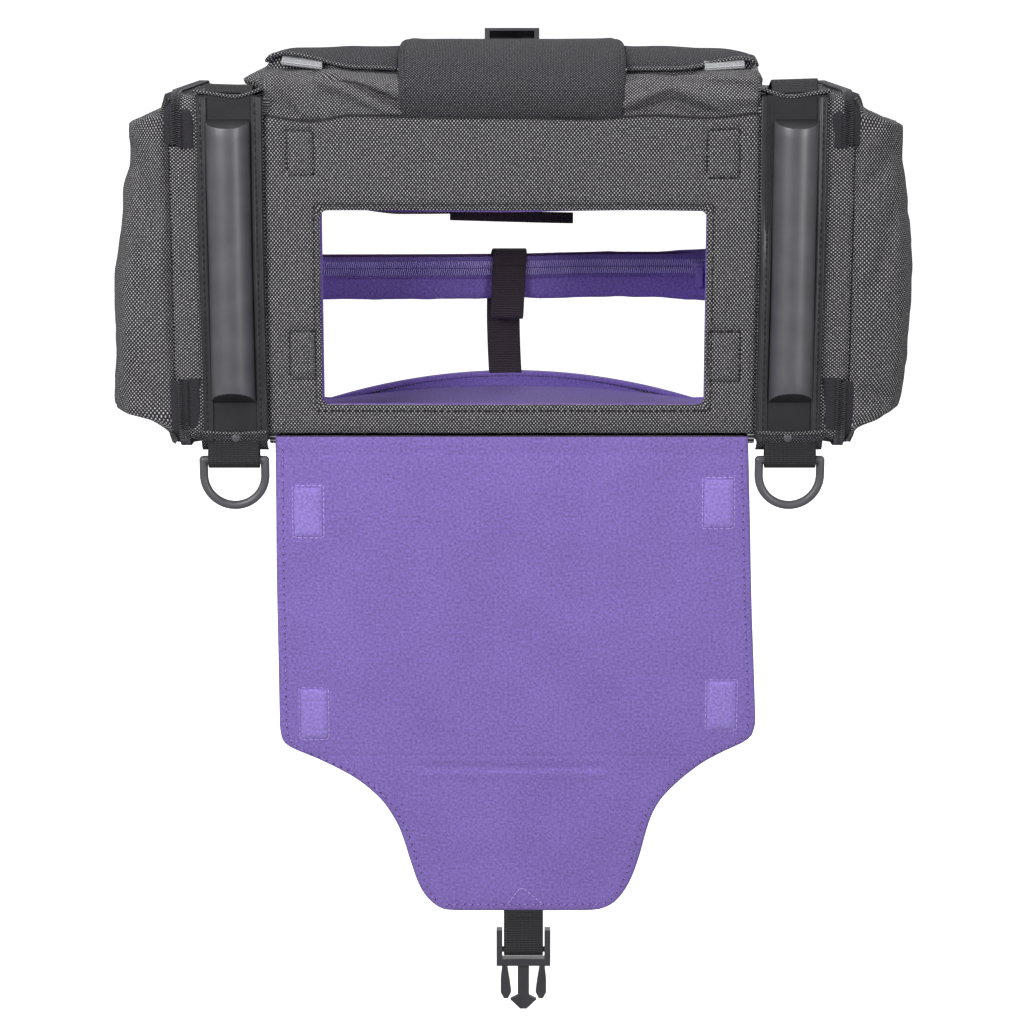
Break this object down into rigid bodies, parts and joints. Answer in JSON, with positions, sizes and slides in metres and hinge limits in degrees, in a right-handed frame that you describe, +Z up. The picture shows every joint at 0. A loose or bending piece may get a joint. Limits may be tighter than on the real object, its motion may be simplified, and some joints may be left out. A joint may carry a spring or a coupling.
{
  "type": "tail bag",
  "caption": "Soft rectangular bag with a windowed front, padded purple lining, zipped end pockets, moulded grips, D-rings and a hanging front flap with a buckle.",
  "frame": {"origin": "centre of the flat base of the main compartment", "axes": "+Z up, +X to the right as seen from the front, +Y from the front face towards the rear"},
  "size_m": [0.484, 0.171, 0.5917],
  "materials": {
    "woven_nylon": "ballistic nylon, charcoal with pale flecks, matt",
    "purple_lining": "brushed knit lining, purple, matt",
    "foam": "closed-cell foam, matt",
    "stiffener_board": "polyethylene board",
    "magnet": "coated magnet",
    "black_webbing": "polypropylene webbing, satin",
    "grey_webbing": "ribbed grey webbing",
    "moulded_rubber": "moulded thermoplastic rubber, semi-gloss",
    "black_metal": "black powder coat, satin",
    "acetal_plastic": "moulded acetal, semi-gloss",
    "black_zip": "nylon coil on woven tape",
    "purple_zip": "nylon coil on woven tape, purple"
  },
  "bodies": {
    "bag": {"front_panel": "woven_nylon", "yoke_left": "woven_nylon", "yoke_right": "woven_nylon", "top_bridge": "woven_nylon", "rear_yoke": "woven_nylon", "rear_panel": "woven_nylon", "floor_outer": "woven_nylon", "end_box_left": "woven_nylon", "end_box_right": "woven_nylon", "front_lining": "purple_lining", "rear_lining": "purple_lining", "rear_band": "purple_lining", "rear_sill": "purple_lining", "floor_lining": "purple_lining", "side_wall_left": "purple_lining", "side_wall_right": "purple_lining", "front_foam": "foam", "bridge_pad": "foam", "floor_board": "stiffener_board", "front_magnets": "magnet", "ring_webbing_left": "black_webbing", "ring_webbing_right": "black_webbing", "strap_tabs": "black_webbing", "load_strap": "black_webbing", "buckle_anchor": "black_webbing", "grip_panel_left": "moulded_rubber", "grip_panel_right": "moulded_rubber", "grip_left": "moulded_rubber", "grip_right": "moulded_rubber", "grip_rivets": "black_metal", "zip_tape_left": "black_zip", "zip_tape_right": "black_zip", "band_zip": "purple_zip"},
    "flap": {"flap_outer": "woven_nylon", "flap_foam": "foam", "flap_lining": "purple_lining", "flap_magnets": "magnet"},
    "tongue": {"tongue_outer": "woven_nylon", "tongue_board": "stiffener_board", "tongue_lining": "purple_lining"},
    "strap": {"tongue_webbing": "black_webbing"},
    "buckle": {"male_buckle": "acetal_plastic"},
    "arm_left": {"buckle_arm_left": "acetal_plastic"},
    "arm_right": {"buckle_arm_right": "acetal_plastic"},
    "ring_left": {"d_ring_left": "black_metal"},
    "ring_right": {"d_ring_right": "black_metal"},
    "socket": {"female_buckle": "acetal_plastic"},
    "end_lid_left": {"end_face_left": "woven_nylon", "end_gusset_left": "woven_nylon", "lid_zip_left": "black_zip"},
    "end_lid_right": {"end_face_right": "woven_nylon", "end_gusset_right": "woven_nylon", "lid_zip_right": "black_zip"},
    "top_lid_left": {"top_lid_left": "woven_nylon", "pull_tab_left": "grey_webbing"},
    "top_lid_right": {"top_lid_right": "woven_nylon", "pull_tab_right": "grey_webbing"},
    "end_slider_left": {"end_slider_left": "black_metal"},
    "end_slider_right": {"end_slider_right": "black_metal"},
    "band_slider": {"band_slider": "black_metal"}
  },
  "joints": [
    {"name": "flap_hinge", "type": "hinge", "parent": "bag", "child": "flap", "pos_m": [0, -0.076, 0.006], "axis": [-1, 0, 0], "range_deg": [0, 180]},
    {"name": "tongue_fold", "type": "hinge", "parent": "flap", "child": "tongue", "pos_m": [0, -0.0755, -0.198], "axis": [-1, 0, 0], "range_deg": [0, 58]},
    {"name": "strap_bend", "type": "hinge", "parent": "tongue", "child": "strap", "pos_m": [0.007, -0.0725, -0.2892], "axis": [1, 0, 0], "range_deg": [-30, 30]},
    {"name": "buckle_pivot", "type": "hinge", "parent": "strap", "child": "buckle", "pos_m": [0.007, -0.0725, -0.3146], "axis": [1, 0, 0], "range_deg": [-25, 25]},
    {"name": "arm_left_squeeze", "type": "hinge", "parent": "buckle", "child": "arm_left", "pos_m": [-0.0045, -0.0725, -0.32465], "axis": [0, -1, 0], "range_deg": [0, 6], "stiffness_Nm_per_rad": 0.08},
    {"name": "arm_right_squeeze", "type": "hinge", "parent": "buckle", "child": "arm_right", "pos_m": [0.0185, -0.0725, -0.32465], "axis": [0, 1, 0], "range_deg": [0, 6], "stiffness_Nm_per_rad": 0.08},
    {"name": "ring_left_swing", "type": "hinge", "parent": "bag", "child": "ring_left", "pos_m": [-0.163, -0.076, -0.0085], "axis": [-1, 0, 0], "range_deg": [-85, 85]},
    {"name": "ring_right_swing", "type": "hinge", "parent": "bag", "child": "ring_right", "pos_m": [0.163, -0.076, -0.0085], "axis": [-1, 0, 0], "range_deg": [-85, 85]},
    {"name": "socket_pivot", "type": "hinge", "parent": "bag", "child": "socket", "pos_m": [0, 0.049, 0.22783], "axis": [-1, 0, 0], "range_deg": [0, 80]},
    {"name": "end_lid_left_hinge", "type": "hinge", "parent": "bag", "child": "end_lid_left", "pos_m": [-0.197, -0.0753, 0.1], "axis": [0, 0, 1], "range_deg": [0, 100]},
    {"name": "end_lid_right_hinge", "type": "hinge", "parent": "bag", "child": "end_lid_right", "pos_m": [0.197, -0.0753, 0.1], "axis": [0, 0, -1], "range_deg": [0, 100]},
    {"name": "top_lid_left_hinge", "type": "hinge", "parent": "bag", "child": "top_lid_left", "pos_m": [-0.10425, 0.04475, 0.2141], "axis": [-1, 0, 0], "range_deg": [0, 110]},
    {"name": "top_lid_right_hinge", "type": "hinge", "parent": "bag", "child": "top_lid_right", "pos_m": [0.10425, 0.04475, 0.2141], "axis": [-1, 0, 0], "range_deg": [0, 110]},
    {"name": "end_slider_left_run", "type": "slide", "parent": "bag", "child": "end_slider_left", "axis": [0, 0, 1], "range_m": [-0.05, 0.09]},
    {"name": "end_slider_right_run", "type": "slide", "parent": "bag", "child": "end_slider_right", "axis": [0, 0, 1], "range_m": [-0.05, 0.09]},
    {"name": "band_slider_run", "type": "slide", "parent": "bag", "child": "band_slider", "axis": [1, 0, 0], "range_m": [-0.1, 0]}
  ]
}
